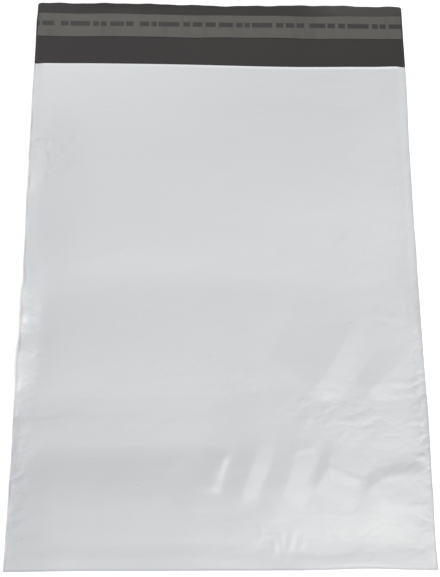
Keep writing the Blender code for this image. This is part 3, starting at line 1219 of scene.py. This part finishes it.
@dataclass
class Closure:
    """The strip of glue on the lip, and the release liner that covers it."""

    bag: FilmBag
    liner_width: float = 0.0181
    liner_thickness: float = 0.00006
    side_margin: float = 0.001
    glue_margin: float = 0.002
    glue_thickness: float = 0.00004
    layer_gap: float = 0.0001
    segments: tuple[int, int] = (160, 8)
    strays: tuple[Wave, ...] = (Wave(1.0, 71.0), Wave(0.6, 153.0, 1.2))
    liner_waver: float = 0.0002
    dashes_from_edge: float = 0.0082

    @property
    def liner_top(self) -> float:
        """The liner's edge nearer to the lip's free edge."""
        return self.bag.top_y - self.bag.liner_from_edge

    def strip(
        self, low: float, high: float, bottom: float, thickness: float, waver: float = 0.0
    ) -> bmesh.types.BMesh:
        """A thin strip that follows the lip.

        Args:
            low: Its lower edge along Y.
            high: Its upper edge along Y.
            bottom: How far its underside is above the film's outer face.
            thickness: Its thickness.
            waver: How far its long edges stray.

        Returns:
            Its mesh.
        """
        half = self.bag.half - self.side_margin
        bm = bmesh.new()
        add_slab(bm, self.segments, (-half, low), (half, high), thickness)
        for vert in bm.verts:
            x, y = np.array(vert.co.x), np.array(vert.co.y)
            new_x, new_y = self.bag.outline(x, y, np.array(0.0))
            vert.co.z += float(self.bag.back_height(x, y)) + bottom
            vert.co.x = float(new_x)
            vert.co.y = float(new_y + waver * sum(wave.at(vert.co.x) for wave in self.strays))
        return bm

    def build(self) -> None:
        """Builds and dresses the glue strip and the liner."""
        low = self.liner_top - self.liner_width
        on_film = self.bag.film + self.layer_gap
        glue_low, glue_high = low + self.glue_margin, self.liner_top - self.glue_margin
        bm = self.strip(glue_low, glue_high, on_film, self.glue_thickness)
        glue = as_piece("glue_strip", bm, GlueFinish("hot melt glue"))
        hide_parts("adhesive_strip")
        on_glue = on_film + self.glue_thickness + self.layer_gap
        finish = LinerFinish(
            name="grey release film",
            colour=(0.099, 0.097, 0.090),
            dash_colour=(0.032, 0.031, 0.031),
            roughness=0.5,
            row_y=self.liner_top - self.dashes_from_edge,
            half_height=0.0019,
            pitch=0.0092,
        )
        bm = self.strip(low, self.liner_top, on_glue, self.liner_thickness, self.liner_waver)
        liner = as_piece("liner", bm, finish)
        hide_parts("release_liner")


@dataclass(frozen=True)
class TableFinish(Finish):
    """A matt white table that shines white to the camera, more so far from the bag."""

    grey: float = 0.8
    roughness: float = 0.9
    near: Pair = (0.35, 0.45)
    far: Pair = (1.4, 1.0)

    def looks(self, kit: NodeKit, place: Socket) -> dict:
        """What the shader is fed with, by input."""
        distance = kit.add("VectorMath", {0: place}, operation="LENGTH").outputs["Value"]
        limits = dict(zip(("From Min", "To Min", "From Max", "To Max"), (*self.near, *self.far)))
        lift = kit.add("MapRange", {"Value": distance, **limits}, interpolation_type="SMOOTHSTEP")
        seen = kit.add("LightPath").outputs["Is Camera Ray"]
        return {
            "Base Color": (self.grey, self.grey, self.grey, 1.0),
            "Roughness": self.roughness,
            "Specular IOR Level": 0.0,
            "Emission Color": (*WHITE, 1.0),
            "Emission Strength": kit.math("MULTIPLY", seen, lift.outputs["Result"]),
        }


@dataclass(frozen=True)
class Lamp:
    """A square soft light aimed at the bag; its power is in watts."""

    name: str
    place: Place
    size: float
    power: float
    colour: Colour = WHITE
    glossy: bool = True

    def add(self) -> None:
        """Puts the light into the scene."""
        data = bpy.data.lights.new(self.name, "AREA")
        data.shape = "SQUARE"
        data.size, data.energy, data.color = self.size, self.power, self.colour
        made = add_object(self.name, data)
        made.location = self.place
        made.rotation_euler = (-Vector(self.place)).to_track_quat("-Z", "Y").to_euler()
        made.visible_glossy = self.glossy


@dataclass(frozen=True)
class Studio:
    """The camera, the table and the lights."""

    camera_place: Place = (-0.0125, -0.1680, 0.5394)
    camera_turn: Place = (15.584, -1.274, -0.100)
    lens: float = 55.03
    sensor: float = 36.0
    clip: Pair = (0.01, 50.0)
    lamps: tuple[Lamp, ...] = (
        Lamp("key light", (4.4, -5.4, 6.0), 4.5, 770.0, glossy=False),
        Lamp("sheen light", (0.52, -0.48, 1.5), 0.50, 6.0, (1.0, 0.92, 0.84)),
        Lamp("back light", (-0.40, 1.15, 1.5), 0.6, 4.3),
    )
    world_light: float = 0.12
    world_shine: float = 0.5
    floor_size: float = 4.0
    floor_drop: float = 0.0002

    def camera(self) -> None:
        """The camera, where the photograph was taken from."""
        data = bpy.data.cameras.new("camera")
        data.lens, data.sensor_width = self.lens, self.sensor
        data.clip_start, data.clip_end = self.clip
        made = add_object("camera", data)
        made.location = self.camera_place
        made.rotation_euler = Euler([math.radians(a) for a in self.camera_turn], "XYZ")
        bpy.context.scene.camera = made

    def world(self) -> None:
        """An even light from all round, seen as plain white."""
        world = bpy.data.worlds.new("studio")
        world.use_nodes = True
        bpy.context.scene.world = world
        kit = NodeKit(world.node_tree)
        rays = kit.add("LightPath").outputs
        shine = kit.math("MULTIPLY", rays["Is Glossy Ray"], self.world_shine)
        seen = kit.math("MAXIMUM", rays["Is Camera Ray"], shine)
        strength = kit.math("MULTIPLY_ADD", seen, 1.0 - self.world_light, self.world_light)
        kit.fill(world.node_tree.nodes["Background"], {"Color": (*WHITE, 1.0), "Strength": strength})

    def floor(self) -> None:
        """A white table that keeps the bag's shadow."""
        bm = bmesh.new()
        bmesh.ops.create_grid(bm, x_segments=1, y_segments=1, size=self.floor_size)
        bmesh.ops.translate(bm, verts=bm.verts, vec=(0.0, 0.0, -self.floor_drop))
        made = add_mesh("table_top", bm)
        made.data.materials.append(TableFinish("white table").material())

    def build(self) -> None:
        """Sets up all of it."""
        self.camera()
        for lamp in self.lamps:
            lamp.add()
        self.world()
        self.floor()
        bpy.context.scene.view_settings.view_transform = "Standard"


def main() -> None:
    """Builds the bag, its closure and the studio, and reports each piece."""
    logging.basicConfig(level=logging.INFO, format="%(name)s: %(message)s")
    bag = FilmBag()
    bag.build()
    Closure(bag).build()
    Studio().build()


if __name__ == "__main__":
    main()
